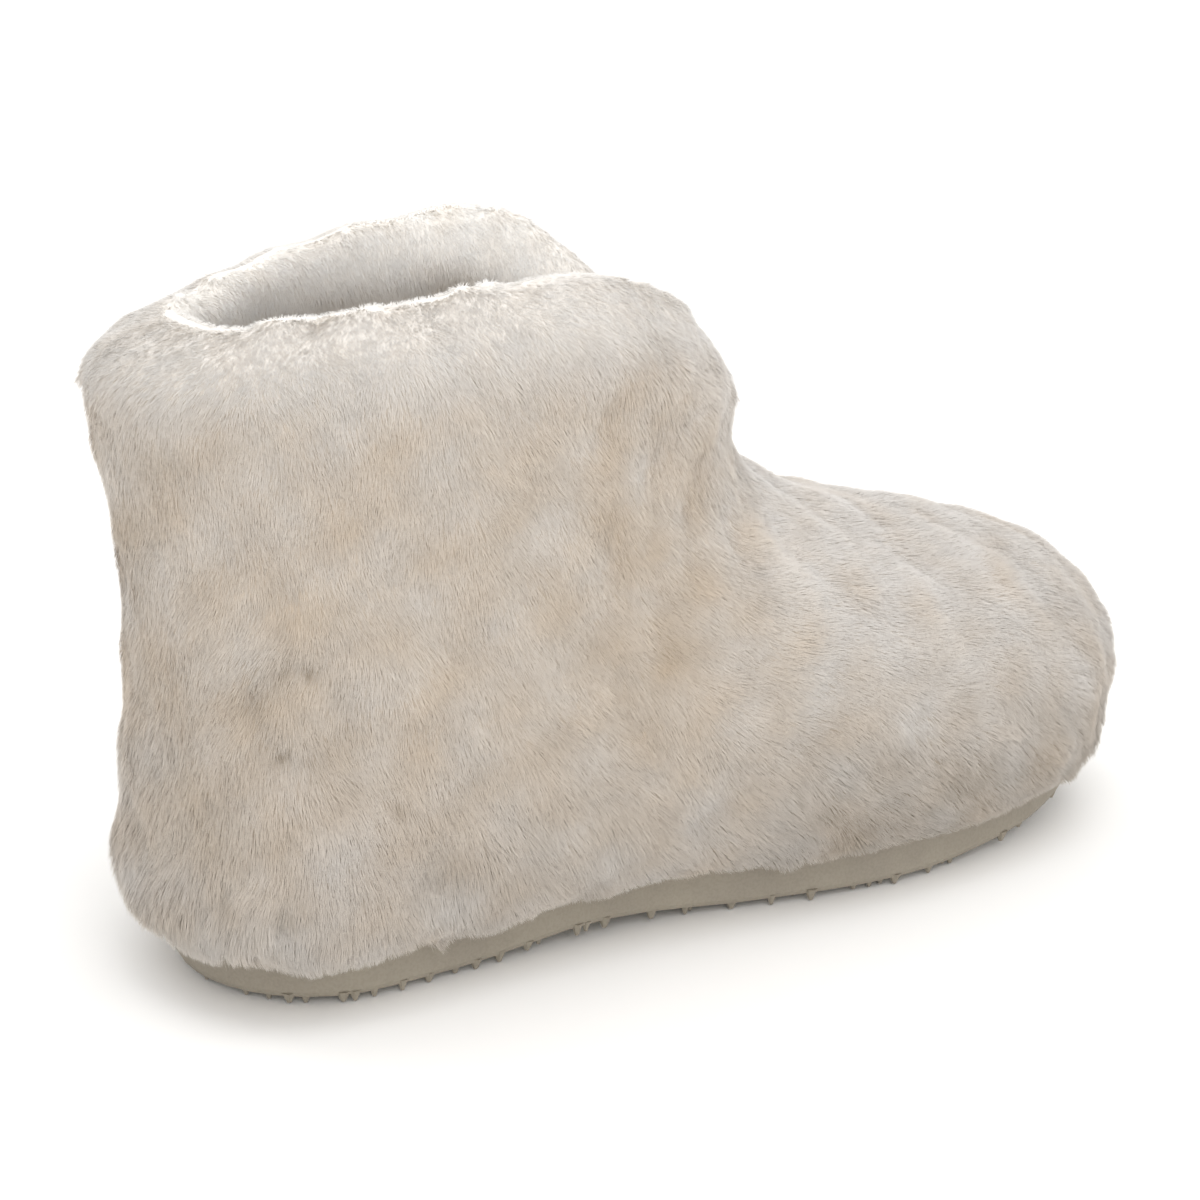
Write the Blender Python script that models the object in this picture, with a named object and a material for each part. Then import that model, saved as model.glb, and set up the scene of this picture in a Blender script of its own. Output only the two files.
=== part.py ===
"""Ankle-high sheepskin house boot for a right foot.

Three pieces: a hollow fur upper, a studded sole and a padded footbed. Metres, +Z up.
+X points to the toe and +Y to the inner side of the foot. The floor is at Z = 0, and the
origin ends up below the middle of the shoe. Until then X counts from the heel end of the sole.
"""

import math

import bmesh
import bpy
import numpy as np
from mathutils import Vector

# Sole. The four widths are those of its plan at WIDTH_STATIONS.
SOLE_LENGTH = 0.264
HEEL_WIDTH = 0.069
WAIST_WIDTH = 0.063
BALL_WIDTH = 0.0894
TOE_WIDTH = 0.0784
HEEL_ROUND = 0.036
TOE_ROUND = 0.048
SOLE_THICKNESS = 0.0110
SOLE_EDGE_RADIUS = 0.0018
ARCH_RISE = 0.0022
TOE_SPRING = 0.0095
TOE_LEAN = 0.0128
WAIST_BOW = 0.0028

# Studs under the sole
STUD_HEIGHT = 0.0016
STUD_RADIUS = 0.0020
STUD_TIP_RADIUS = 0.0015
STUD_PITCH = 0.0140
STUD_ROW_PITCH = 0.0070
STUD_EDGE_MARGIN = 0.0030
STUD_SINK = 0.0006
STUD_SIDES = 6

# Upper, with its fur
HEEL_OVERHANG = 0.0132
INSTEP_HEIGHT = 0.0751
SHAFT_HEIGHT = 0.0800
COLLAR_LENGTH = 0.1585
COLLAR_WIDTH = 0.1064
WALL = 0.0200
SEAT_MARGIN = 0.0085
LOCK_LENGTH = 0.0058
LOCK_LIFT = 0.0022

# Footbed
INSOLE_THICKNESS = 0.0065
INSOLE_EDGE_RADIUS = 0.0020

CLEARANCE = 0.0003

# Shares of the sole's length: where the arch begins and ends, and where the toe turns up
ARCH_FROM = 0.21
ARCH_TO = 0.515
SPRING_FROM = 0.667

# Stations of the four widths, as shares of a section's own length
WIDTH_STATIONS = (0.10, 0.42, 0.68, 0.92)

# Share of a section's length at which the collar is highest, before it dips to the throat
PEAK_AT = 0.67
DIP_POWER = 1.5

# The fur's lie. It turns from down to forward over a stretch of the sole's length, and only below
# a height over the instep. Lie vectors are forward and up, and lock tips are a share of their base.
LIE_TURN_FROM = 0.30
LIE_TURN_TO = 0.65
LIE_SHAFT_FROM = 0.40
LIE_SHAFT = (0.25, -1.0)
LIE_VAMP = (1.45, -0.6)
LOCK_TIP = 0.36
LOCK_SPREAD = (0.8, 1.2)
LOCK_EVERY = 3

UPPER_COLUMNS = 52
SOLE_COLUMNS = 72

# Heights of the sections, from the hem up to the collar's crest.
# Those of the foot are shares of INSTEP_HEIGHT over the sole, those of the shaft are shares of
# SHAFT_HEIGHT over the instep, at the back, the side and the front.
# follow is how much of the sole's arch and toe spring the section takes up.
# wall is a share of WALL, and slant how much of the wall's slant is kept inside. The hem and the
# crest have no inner section of their own.
HEIGHT_COLUMNS = ("part", "name", "z_back", "z_side", "z_front", "follow", "wall", "slant")
HEIGHTS = (
    ("foot", "hem", 0.000, 0.000, 0.000, 1.0, 0.00, 0.0),
    ("foot", "low", 0.121, 0.150, 0.169, 1.0, 0.70, 0.0),
    ("foot", "side", 0.344, 0.356, 0.358, 0.6, 0.75, 0.5),
    ("foot", "upside", 0.577, 0.630, 0.651, 0.3, 0.80, 1.0),
    ("foot", "vamp", 0.790, 0.830, 0.846, 0.0, 0.85, 1.0),
    ("foot", "instep", 1.000, 1.014, 1.020, 0.0, 0.85, 1.0),
    ("shaft", "throat", 0.194, 0.190, 0.170, 0.0, 0.90, 0.6),
    ("shaft", "shaft", 0.423, 0.458, 0.337, 0.0, 0.95, 0.2),
    ("shaft", "collar", 0.650, 0.700, 0.490, 0.0, 1.05, 0.0),
    ("shaft", "rim", 0.805, 0.860, 0.640, 0.0, 0.95, 0.0),
    ("shaft", "crest", 0.925, 1.000, 0.705, 0.0, 0.00, 0.0),
)

# Plans of the same sections.
# Foot: back is a share of HEEL_OVERHANG behind the sole, front and the two rounds are shares of
# SOLE_LENGTH, and heel, waist, ball and toe are shares of the sole's own half widths.
# Shaft: back, front and the rounds are shares of COLLAR_LENGTH from the collar's rear end, and
# heel, waist, ball and toe are shares of COLLAR_WIDTH.
# The rounds are the lengths over which the plan closes at its back and front.
PLAN_COLUMNS = ("name", "back", "front", "round_back", "round_front", "heel", "waist", "ball", "toe")
PLANS = (
    ("hem", 0.52, 1.010, 0.136, 0.182, 1.20, 1.21, 1.13, 1.24),
    ("low", 0.88, 1.008, 0.136, 0.182, 1.36, 1.41, 1.235, 1.31),
    ("side", 0.70, 1.018, 0.136, 0.182, 1.39, 1.50, 1.23, 1.23),
    ("upside", 0.62, 0.965, 0.136, 0.190, 1.365, 1.52, 1.17, 1.07),
    ("vamp", 0.50, 0.864, 0.136, 0.240, 1.33, 1.52, 1.115, 0.94),
    ("instep", 0.50, 0.711, 0.136, 0.306, 1.32, 1.52, 1.09, 0.935),
    ("throat", 0.031, 1.072, 0.42, 0.44, 0.436, 0.461, 0.463, 0.389),
    ("shaft", 0.014, 0.988, 0.42, 0.42, 0.454, 0.483, 0.482, 0.440),
    ("collar", 0.000, 0.985, 0.42, 0.42, 0.466, 0.500, 0.495, 0.456),
    ("rim", 0.014, 0.951, 0.42, 0.42, 0.430, 0.463, 0.463, 0.414),
    ("crest", 0.139, 0.926, 0.42, 0.42, 0.304, 0.315, 0.367, 0.301),
)

# Principled colours, linear, and roughness
FUR_COLOUR = (0.62, 0.56, 0.48)
SOLE_COLOUR = (0.37, 0.33, 0.26)
FLEECE_COLOUR = (0.66, 0.60, 0.52)
FUR_ROUGHNESS = 0.95
SOLE_ROUGHNESS = 0.65


# Curves shared by all three pieces

def smooth_curve(at, stations, values):
    """Values at `at` on a smooth curve through the stations."""
    stations = np.asarray(stations, float)
    values = np.asarray(values, float)
    slopes = np.gradient(values, stations, axis=0)
    at = np.asarray(at, float)
    first = np.clip(np.searchsorted(stations, at, side="right") - 1, 0, len(stations) - 2)
    span = stations[first + 1] - stations[first]
    share = (at - stations[first]) / span
    more_axes = (1,) * (values.ndim - 1)
    span = span.reshape(span.shape + more_axes)
    share = share.reshape(share.shape + more_axes)
    square = share ** 2
    cube = share ** 3
    start = (2 * cube - 3 * square + 1) * values[first]
    start_slope = (cube - 2 * square + share) * span * slopes[first]
    end = (3 * square - 2 * cube) * values[first + 1]
    end_slope = (cube - square) * span * slopes[first + 1]
    return start + start_slope + end + end_slope


def centre_line(x):
    """Sideways place of the shoe's middle: the waist bows out and the toe leans in."""
    share = x / SOLE_LENGTH
    return TOE_LEAN * share ** 2 - WAIST_BOW * np.sin(math.pi * np.clip(share, 0, 1))


def sole_lift(x):
    """Height that arch and toe spring add at x."""
    share = x / SOLE_LENGTH
    spring = np.clip((share - SPRING_FROM) / (1 - SPRING_FROM), 0, None)
    arch = np.clip((share - ARCH_FROM) / (ARCH_TO - ARCH_FROM), 0, 1)
    return TOE_SPRING * spring ** 2 + ARCH_RISE * np.sin(math.pi * arch) ** 2


def sole_bottom(x):
    return STUD_HEIGHT + sole_lift(x)


def sole_top(x):
    return sole_bottom(x) + SOLE_THICKNESS


def half_width(share, widths):
    """Half width of a plan at a share of its length, before its ends close."""
    stations = (-0.2,) + WIDTH_STATIONS + (1.2,)
    values = (widths[0],) + tuple(widths) + (widths[-1],)
    return smooth_curve(share, stations, values)


def end_round(distance, length):
    """How far a plan has opened at a distance from its end: a quarter of an oval."""
    share = np.clip(distance / length, 0, 1)
    return np.sqrt(1 - (1 - share) ** 2)


def section_plan(back, front, rounds, widths, columns):
    """Closed plan of a section, seen from above, starting at the toe and turning to +Y."""
    angle = 2 * math.pi * np.arange(columns) / columns
    share = (1 + np.cos(angle)) / 2
    x = back + (front - back) * share
    opened = end_round(x - back, rounds[0]) * end_round(front - x, rounds[1])
    side = np.sign(np.sin(angle)) * opened
    return x, centre_line(x) + side * half_width(share, widths), share


def sole_widths():
    return (HEEL_WIDTH / 2, WAIST_WIDTH / 2, BALL_WIDTH / 2, TOE_WIDTH / 2)


def sole_outline(inset, columns):
    """Outline of the sole, drawn in by inset along its own normals."""
    x, y, _ = section_plan(0.0, SOLE_LENGTH, (HEEL_ROUND, TOE_ROUND), sole_widths(), columns)
    along_x = np.roll(x, -1) - np.roll(x, 1)
    along_y = np.roll(y, -1) - np.roll(y, 1)
    length = np.hypot(along_x, along_y)
    return x - inset * along_y / length, y + inset * along_x / length


def ring_at(x, y, z):
    return np.stack((x, y, z), axis=1)


# Meshes

def add_rings(bm, rings):
    return [[bm.verts.new(point) for point in ring] for ring in rings]


def skin_rings(bm, lower, upper):
    """Quads between two rings, facing away from the rings' middle when upper is the higher one."""
    count = len(lower)
    faces = []
    for column in range(count):
        following = (column + 1) % count
        corners = (lower[column], lower[following], upper[following], upper[column])
        faces.append(bm.faces.new(corners))
    return faces


def cap_ring(bm, ring, upward):
    """Close a ring with strips across it, which keeps a bent sole flat from side to side."""
    count = len(ring)
    half = count // 2
    for column in range(half):
        right = ring[(count - column) % count]
        right_next = ring[count - column - 1]
        corners = [ring[column], ring[column + 1], right_next, right]
        corners = list(dict.fromkeys(corners))
        if not upward:
            corners.reverse()
        bm.faces.new(corners)


def material(name, colour, roughness):
    made = bpy.data.materials.new(name)
    made.use_nodes = True
    shader = made.node_tree.nodes["Principled BSDF"]
    shader.inputs["Base Color"].default_value = (*colour, 1.0)
    shader.inputs["Roughness"].default_value = roughness
    shader.inputs["Metallic"].default_value = 0.0
    return made


def object_from(bm, name, collection, shade, sharp_angle):
    mesh = bpy.data.meshes.new(name)
    bm.to_mesh(mesh)
    bm.free()
    mesh.shade_smooth()
    mesh.set_sharp_from_angle(angle=math.radians(sharp_angle))
    if shade:
        mesh.materials.append(shade)
    made = bpy.data.objects.new(name, mesh)
    collection.objects.link(made)
    return made


# Upper

def section_height(share, back, side, front):
    """Height along a section: from the back to the side's peak, then down or up to the front."""
    rear = np.clip(share / PEAK_AT, 0, 1)
    ahead = np.clip((share - PEAK_AT) / (1 - PEAK_AT), 0, 1)
    return back + (side - back) * rear + (front - side) * ahead ** DIP_POWER


def section_ring(row):
    """Outer ring of one section of the tables."""
    names = ("heel", "waist", "ball", "toe")
    if row["part"] == "shaft":
        back = -HEEL_OVERHANG + row["back"] * COLLAR_LENGTH
        front = -HEEL_OVERHANG + row["front"] * COLLAR_LENGTH
        rounds = (row["round_back"] * COLLAR_LENGTH, row["round_front"] * COLLAR_LENGTH)
        widths = [row[name] * COLLAR_WIDTH for name in names]
        base = INSTEP_HEIGHT
        unit = SHAFT_HEIGHT
    else:
        back = -row["back"] * HEEL_OVERHANG
        front = row["front"] * SOLE_LENGTH
        rounds = (row["round_back"] * SOLE_LENGTH, row["round_front"] * SOLE_LENGTH)
        widths = [row[name] * width for name, width in zip(names, sole_widths())]
        base = 0.0
        unit = INSTEP_HEIGHT
    x, y, share = section_plan(back, front, rounds, widths, UPPER_COLUMNS)
    height = section_height(share, row["z_back"], row["z_side"], row["z_front"])
    seat = STUD_HEIGHT + SOLE_THICKNESS + CLEARANCE + row["follow"] * sole_lift(x)
    return ring_at(x, y, seat + base + height * unit)


def outward(rings):
    """Normals of the outer surface at the points of its rings."""
    around = np.roll(rings, -1, axis=1) - np.roll(rings, 1, axis=1)
    upward = np.gradient(rings, axis=0)
    normals = np.cross(around, upward)
    return normals / np.linalg.norm(normals, axis=2, keepdims=True)


def inner_ring(ring, normals, wall, slant):
    """The ring moved in by the wall. Slant 0 moves it level, slant 1 square to the surface."""
    level = normals * (1.0, 1.0, slant)
    level = level / np.linalg.norm(level, axis=1, keepdims=True)
    return ring - wall * level


def upper_rings():
    """Outer rings from the hem to the crest, and inner rings from the rim down to the seat."""
    rows = []
    for heights, plan in zip(HEIGHTS, PLANS):
        rows.append(dict(zip(HEIGHT_COLUMNS, heights)) | dict(zip(PLAN_COLUMNS, plan)))
    drawn = np.array([section_ring(row) for row in rows])
    steps = np.arange(0, len(rows) - 0.75, 0.5)
    outer = smooth_curve(steps, np.arange(len(rows)), drawn)
    normals = outward(drawn)
    inner = []
    for index in range(len(rows) - 2, 0, -1):
        row = rows[index]
        inner.append(inner_ring(drawn[index], normals[index], row["wall"] * WALL, row["slant"]))
    x, y = sole_outline(SEAT_MARGIN, UPPER_COLUMNS)
    seat = sole_top(x) + CLEARANCE
    inner.append(ring_at(x, y, seat + INSOLE_THICKNESS + 3 * CLEARANCE))
    inner.append(ring_at(x, y, seat))
    return outer, inner


def fur_lie(place):
    """Direction in which the fur lies: down the shaft and heel, forward over the vamp."""
    turn = (place.x / SOLE_LENGTH - LIE_TURN_FROM) / (LIE_TURN_TO - LIE_TURN_FROM)
    height = (place.z - INSTEP_HEIGHT) / (LIE_SHAFT_FROM * SHAFT_HEIGHT)
    vamp = np.clip(turn, 0, 1) * (1 - np.clip(height, 0, 1))
    forward = LIE_SHAFT[0] + (LIE_VAMP[0] - LIE_SHAFT[0]) * vamp
    upward = LIE_SHAFT[1] + (LIE_VAMP[1] - LIE_SHAFT[1]) * vamp
    return Vector((forward, 0.0, upward))


def raise_locks(bm, faces, upright, seed):
    """Pull each face out into a lock with a narrow tip that lies along the fur."""
    chance = np.random.default_rng(seed)
    pulled = bmesh.ops.extrude_discrete_faces(bm, faces=faces)["faces"]
    for face in pulled:
        middle = face.calc_center_median()
        normal = face.normal.copy()
        size = chance.uniform(*LOCK_SPREAD)
        lean = fur_lie(middle)
        lean = lean - normal * lean.dot(normal)
        lean.normalize()
        if upright:
            shift = normal * LOCK_LIFT * size
        else:
            shift = normal * LOCK_LIFT * size + lean * LOCK_LENGTH * size
        for vert in face.verts:
            vert.co = middle + (vert.co - middle) * LOCK_TIP + shift


def build_upper(collection):
    """Hollow shell with locks, open at the collar and underneath."""
    outer, inner = upper_rings()
    bm = bmesh.new()
    rings = add_rings(bm, list(outer) + inner)
    rings.append(rings[0])
    bands = [skin_rings(bm, low, high) for low, high in zip(rings, rings[1:])]
    bm.normal_update()
    lying = []
    standing = []
    last = len(outer) - 2
    for level in range(last + 1):
        for column in range(UPPER_COLUMNS):
            if (column + 2 * level) % LOCK_EVERY:
                continue
            group = standing if level >= last - 1 else lying
            group.append(bands[level][column])
    raise_locks(bm, lying, upright=False, seed=11)
    raise_locks(bm, standing, upright=True, seed=12)
    bmesh.ops.recalc_face_normals(bm, faces=bm.faces)
    fur = material("fur", FUR_COLOUR, FUR_ROUGHNESS)
    return object_from(bm, "upper", collection, fur, 55)


# Sole

def stud_places():
    """Middles of the studs: rows along the shoe, every other row shifted by half a pitch."""
    places = []
    row_count = int(BALL_WIDTH / STUD_ROW_PITCH / 2) + 1
    column_count = int(SOLE_LENGTH / STUD_PITCH) + 1
    for row in range(-row_count, row_count + 1):
        for column in range(column_count):
            x = (column + 0.25 + 0.5 * (row % 2)) * STUD_PITCH
            y = row * STUD_ROW_PITCH
            off_end = min(x, SOLE_LENGTH - x) - STUD_RADIUS - STUD_EDGE_MARGIN
            if off_end < 0:
                continue
            opened = end_round(x, HEEL_ROUND) * end_round(SOLE_LENGTH - x, TOE_ROUND)
            side = opened * half_width(x / SOLE_LENGTH, sole_widths())
            if abs(y) < side - STUD_RADIUS - STUD_EDGE_MARGIN:
                places.append((x, y + float(centre_line(x))))
    return places


def build_studs(collection):
    """The studs as cones cut short, sunk a little into the sole."""
    bm = bmesh.new()
    height = STUD_HEIGHT + STUD_SINK
    for x, y in stud_places():
        made = bmesh.ops.create_cone(
            bm, cap_ends=True, cap_tris=False, segments=STUD_SIDES,
            radius1=STUD_TIP_RADIUS, radius2=STUD_RADIUS, depth=height,
        )
        middle = Vector((x, y, float(sole_lift(x)) + height / 2))
        bmesh.ops.translate(bm, verts=made["verts"], vec=middle)
    studs = object_from(bm, "stud_field", collection, None, 30)
    studs.hide_render = True
    studs.display_type = "WIRE"
    return studs


def build_outsole(collection, cutters):
    """Sole body with a soft lower edge, arch and toe spring, and its studs joined on."""
    bm = bmesh.new()
    edge = SOLE_EDGE_RADIUS
    levels = (
        (edge, 0.0),
        (0.3 * edge, 0.3 * edge),
        (0.0, edge),
        (0.15 * edge, SOLE_THICKNESS - 0.7 * edge),
        (0.7 * edge, SOLE_THICKNESS),
    )
    rings = []
    for inset, height in levels:
        x, y = sole_outline(inset, SOLE_COLUMNS)
        rings.append(ring_at(x, y, sole_bottom(x) + height))
    rings = add_rings(bm, rings)
    for low, high in zip(rings, rings[1:]):
        skin_rings(bm, low, high)
    cap_ring(bm, rings[-1], upward=True)
    cap_ring(bm, rings[0], upward=False)
    bmesh.ops.recalc_face_normals(bm, faces=bm.faces)
    rubber = material("sole", SOLE_COLOUR, SOLE_ROUGHNESS)
    sole = object_from(bm, "outsole", collection, rubber, 35)
    join = sole.modifiers.new("studs", "BOOLEAN")
    join.operation = "UNION"
    join.solver = "EXACT"
    join.object = build_studs(cutters)
    return sole


# Footbed

def build_insole(collection):
    """Padded footbed that lies on the sole, inside the seat of the upper."""
    bm = bmesh.new()
    edge = INSOLE_EDGE_RADIUS
    levels = (
        (0.0, 0.0),
        (0.0, INSOLE_THICKNESS - edge),
        (0.3 * edge, INSOLE_THICKNESS - 0.3 * edge),
        (edge, INSOLE_THICKNESS),
    )
    rings = []
    for inset, height in levels:
        x, y = sole_outline(SEAT_MARGIN + CLEARANCE + inset, UPPER_COLUMNS)
        rings.append(ring_at(x, y, sole_top(x) + CLEARANCE + height))
    rings = add_rings(bm, rings)
    for low, high in zip(rings, rings[1:]):
        skin_rings(bm, low, high)
    cap_ring(bm, rings[-1], upward=True)
    cap_ring(bm, rings[0], upward=False)
    bmesh.ops.recalc_face_normals(bm, faces=bm.faces)
    fleece = material("fleece", FLEECE_COLOUR, FUR_ROUGHNESS)
    return object_from(bm, "insole", collection, fleece, 50)


# Assembly

def centre_on_floor(pieces):
    """Move all pieces together, so that the origin lies on the floor below their middle."""
    bpy.context.view_layer.update()
    graph = bpy.context.evaluated_depsgraph_get()
    corners = []
    for piece in pieces:
        shown = piece.evaluated_get(graph)
        corners += [shown.matrix_world @ Vector(corner) for corner in shown.bound_box]
    low = np.min(corners, axis=0)
    high = np.max(corners, axis=0)
    middle = (low + high) / 2
    for piece in pieces:
        piece.location.x -= middle[0]
        piece.location.y -= middle[1]


def new_collection(name):
    made = bpy.data.collections.new(name)
    bpy.context.scene.collection.children.link(made)
    return made


def main():
    for old in list(bpy.data.objects):
        bpy.data.objects.remove(old, do_unlink=True)
    boot = new_collection("fur_slipper")
    cutters = new_collection("cutters")
    outsole = build_outsole(boot, cutters)
    pieces = [build_upper(boot), outsole, build_insole(boot)]
    centre_on_floor(pieces)
    for piece in cutters.objects:
        piece.location = outsole.location


main()
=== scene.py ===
"""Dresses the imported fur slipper: hide, fur coat, lining, footbed and sole.

Lengths are metres. +X points to the toe, +Z up, and the outer side of this right shoe is -Y.
The solids of the frame give every place; the tables below are in the shoe's own sizes.
"""

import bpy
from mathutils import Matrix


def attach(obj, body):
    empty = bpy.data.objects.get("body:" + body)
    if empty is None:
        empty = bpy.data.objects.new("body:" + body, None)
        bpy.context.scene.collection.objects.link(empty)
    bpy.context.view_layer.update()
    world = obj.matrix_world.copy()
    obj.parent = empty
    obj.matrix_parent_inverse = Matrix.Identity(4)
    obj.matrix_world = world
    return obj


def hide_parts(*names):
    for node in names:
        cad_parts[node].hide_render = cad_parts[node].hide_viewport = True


bl_info = {
    "name": "Fur slipper",
    "version": (1, 0, 0),
    "blender": (4, 5, 0),
    "location": "View3D > Sidebar > Fur slipper",
    "description": "Fur coat, lining, footbed and sole finish for an ankle-high sheepskin slipper",
    "category": "Object",
}

import math

import bmesh
import bpy
import numpy as np
from mathutils import Matrix, Vector
from mathutils.bvhtree import BVHTree
from mathutils.kdtree import KDTree

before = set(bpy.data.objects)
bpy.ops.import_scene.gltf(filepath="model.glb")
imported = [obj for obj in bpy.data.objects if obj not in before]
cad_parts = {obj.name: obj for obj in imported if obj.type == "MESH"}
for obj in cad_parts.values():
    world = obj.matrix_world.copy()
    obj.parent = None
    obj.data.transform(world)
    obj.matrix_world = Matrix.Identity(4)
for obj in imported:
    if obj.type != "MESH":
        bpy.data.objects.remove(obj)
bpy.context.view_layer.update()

MM = 0.001

# ---- where things are on the shoe ----

LEG_AXIS = (-65 * MM, 0.0)          # the middle of the leg opening, seen from above
LEG_FROM = 86 * MM                  # above this height the wall goes round the leg
FOOT_LINE = (-86 * MM, 100 * MM)    # the middle line of the foot room, heel end and toe end
FOOT_LINE_HEIGHT = 44 * MM
FOOT_LEAN = (30 * MM, 100 * MM, 5 * MM)   # the toe leans to +Y: from x, to x, by this much
CREST_BINS = 48                     # steps round the leg in which the crest's height is read
CREST_BLUR = (0.1, 0.2, 0.4, 0.2, 0.1)    # and how far each takes from its neighbours

COLLAR_DEEP = 17 * MM               # the collar's own pile reaches this far below its crest
SHAFT_FROM = 97 * MM                # above this height the coat is the shaft's
HEEL_TO = -76 * MM                  # behind this the coat is the heel's
VAMP_FROM = 6 * MM                  # in front of this it is the vamp's
SHAFT_OVERHANG = 20 * MM            # the shaft's coat reaches this far over the vamp
UNDER_FACING = -0.72                # what faces further down than this is hidden on the sole,
UNDER_TO = 40 * MM                  # up to this height
LINING_TO = 24 * MM                 # the lining's pile stops here towards the toe: it can't be seen

# ---- bands below the collar's crest: depth where each starts, depth where it is full ----

TRIM_BAND = (30 * MM, 0.0)          # where the rim is plumped and trimmed
PALE_BAND = (26 * MM, 7 * MM)       # where the fur turns pale
CALM_BAND = (26 * MM, 6 * MM)       # where its strands are alike in shade
COMB_BAND = (15 * MM, 3 * MM)       # where the pile is short and combed down

# ---- the hide's smoothing: two steps that keep the volume between them ----

RELAX_STEPS = (0.5, -0.515)
RELAX_ROUNDS = 60                   # all over
FOOT_ROUNDS = 220                   # and again on the foot, where the solid's locks show most
FOOT_FADE = (92 * MM, 112 * MM)

# ---- small changes of the hide's shape ----

COLLAR_PLUMP = 1.6 * MM             # how far the collar swells
TOE_PLUMP = 1.3 * MM                # how far the toe's top does,
TOE_FROM, TOE_OVER = (48 * MM, 88 * MM), (30 * MM, 50 * MM)   # between these x and these heights
ROUGH_FINE, ROUGH_BROAD = 0.10 * MM, 0.22 * MM
CREST_EVEN = 0.9                    # how far the roughness drops at the crest
RIM_TRIMS = (                       # from x, to x, how much lower the rim is: back and front
    (-66 * MM, -120 * MM, 4.0 * MM),
    (-16 * MM, 5 * MM, 4.0 * MM),
)
RIM_SPOTS = (                       # place, radius and rise of the rim, in mm
    ((-24, -40, 160), 15, -3.6),
    ((-26, 30, 163), 17, 2.4),
)
HEM_SPOT = ((-81, -44, 12), 6, 3.0)       # draws up a lock that would hang below the hem, in mm
HEM_UP = (15 * MM, 34 * MM, 1.2 * MM)     # most at this height, none at this, and how far up

# ---- how the pile lies: forward share by x, downward share by height on the vamp ----

LIE_X = (-143 * MM, -105 * MM, -60 * MM, -10 * MM, 40 * MM, 100 * MM, 143 * MM)
LIE_FORWARD = (0.0, 0.10, 0.42, 0.85, 1.0, 0.85, 0.45)
LIE_VAMP = (-45 * MM, 30 * MM)
LIE_Z = (18 * MM, 36 * MM, 60 * MM, 95 * MM)
LIE_DOWN = (1.25, 0.85, 0.50, 0.30)
LIE_SHAFT = (SHAFT_FROM - 8 * MM, SHAFT_FROM + 16 * MM)
SHAFT_FORWARD = 0.34
LINING_FORWARD = 0.12
FLAT_LIE = 0.15                     # a lie shorter than this is on the crest, and points outwards

# ---- how much longer the pile is low on the shoe ----

LONG_Z = (14 * MM, 24 * MM, 36 * MM, 52 * MM, 75 * MM)
LONG_HEEL = (1.2, 1.6, 1.8, 1.5, 1.0)
LONG_VAMP = (1.0, 1.3, 1.3, 1.1, 1.0)
LONG_LIFT = 0.3                     # how far the lift follows the length

# ---- strands ----

PILE_SEED, LOCK_SEED = 20, 21
GUIDE_DENSITY = 0.30                # locks on each square millimetre
LOCK_SPREAD = 0.30                  # how much of its width a lock keeps at its tip
LOW_FROM = (-70 * MM, -35 * MM)     # locks draw together more from this depth to this, below zero
LOW_CLUMPING = 2.0
MOST_CLUMPING = 0.85
SWIRL_TURN, CURL_TURN = 0.16, 0.08  # how far the lie turns over the hide, in radians
LOOSE, LOOSE_COMBED = 0.17, 0.12    # how far single strands stray from it, more on the crest
COMBED_SHORT = 0.55                 # the crest's strands against the collar's
BLADE_ROLL = 0.22
ROOT_SINK = 0.5 * MM                # roots start this far inside the hide
VARY_REACH, VARY_LIFT = (0.72, 1.12), (0.75, 1.15)
VARY_WIDTH, VARY_PULL = (0.75, 1.2), (0.5, 1.4)

# ---- shade of the strands ----

TIP_THIN = 0.20                     # how much light goes through a fibre of the crest
# roots darker by painted shade deep in the pile; tips lighter in their own colour
ROOT_PAINTED_SHADE, TIP_LIGHTER = 0.13, 0.04
LOCK_CONTRAST = 0.15
STRAND_SHARE, LOCK_SHARE = 0.55, 0.45   # of it, by strand and by lock
COLLAR_CALM, LINING_CALM, VAMP_CALM = 0.90, 0.45, 0.75   # how far the contrast drops there
CALM_VAMP_Z = (36 * MM, 66 * MM)    # where the vamp's calm sets in

# ---- light and tan of the coat by height, at the back of the shoe and at its front: the low coat is darker, partly in the fur's own colour and partly as painted shade from the overhead light ----

FRONT_X = (-20 * MM, 30 * MM)
BACK_LIGHT_Z = (10 * MM, 30 * MM, 60 * MM, 95 * MM, 130 * MM)
BACK_LIGHT = (0.34, 0.42, 0.50, 0.56, 0.56)
FRONT_LIGHT_Z = (10 * MM, 28 * MM, 50 * MM, 70 * MM, 100 * MM)
FRONT_LIGHT = (0.18, 0.24, 0.42, 0.52, 0.62)
TAN_Z = (15 * MM, 30 * MM, 50 * MM, 80 * MM, 130 * MM)
BACK_TAN = (0.15, 0.22, 0.38, 0.42, 0.38)
FRONT_TAN = (0.15, 0.22, 0.15, 0.06, 0.06)
COLLAR_LIGHT, CREST_LIGHTER = 0.77, 0.15   # the collar, and what its inner slope adds
INNER_SLOPE = (-0.45, 0.35)         # facing inwards, from where to where that sets in
LINING_LIGHT, LINING_TAN = 1.0, 0.30
COLLAR_LESS_TAN, COLLAR_LESS_DRIFT = 0.85, 0.7
LIGHT_DRIFTS = (0.024, 0.015, 0.012)       # clouds, mottling and flecks
TAN_DRIFTS = (0.08, 0.03)                  # warm clouds and mottling
CREASE_TAN, CREASE_PAINTED_SHADING = 0.75, 0.12     # shares of a crease's tint: its tan, and its painted shade (painted light on a ridge)
HIDE_PAINTED_SHADE, HIDE_TANNER = 0.20, 0.1       # the hide against the pile that stands on it: darker by painted shade under the pile, and more tan

# ---- footbed ----

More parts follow.
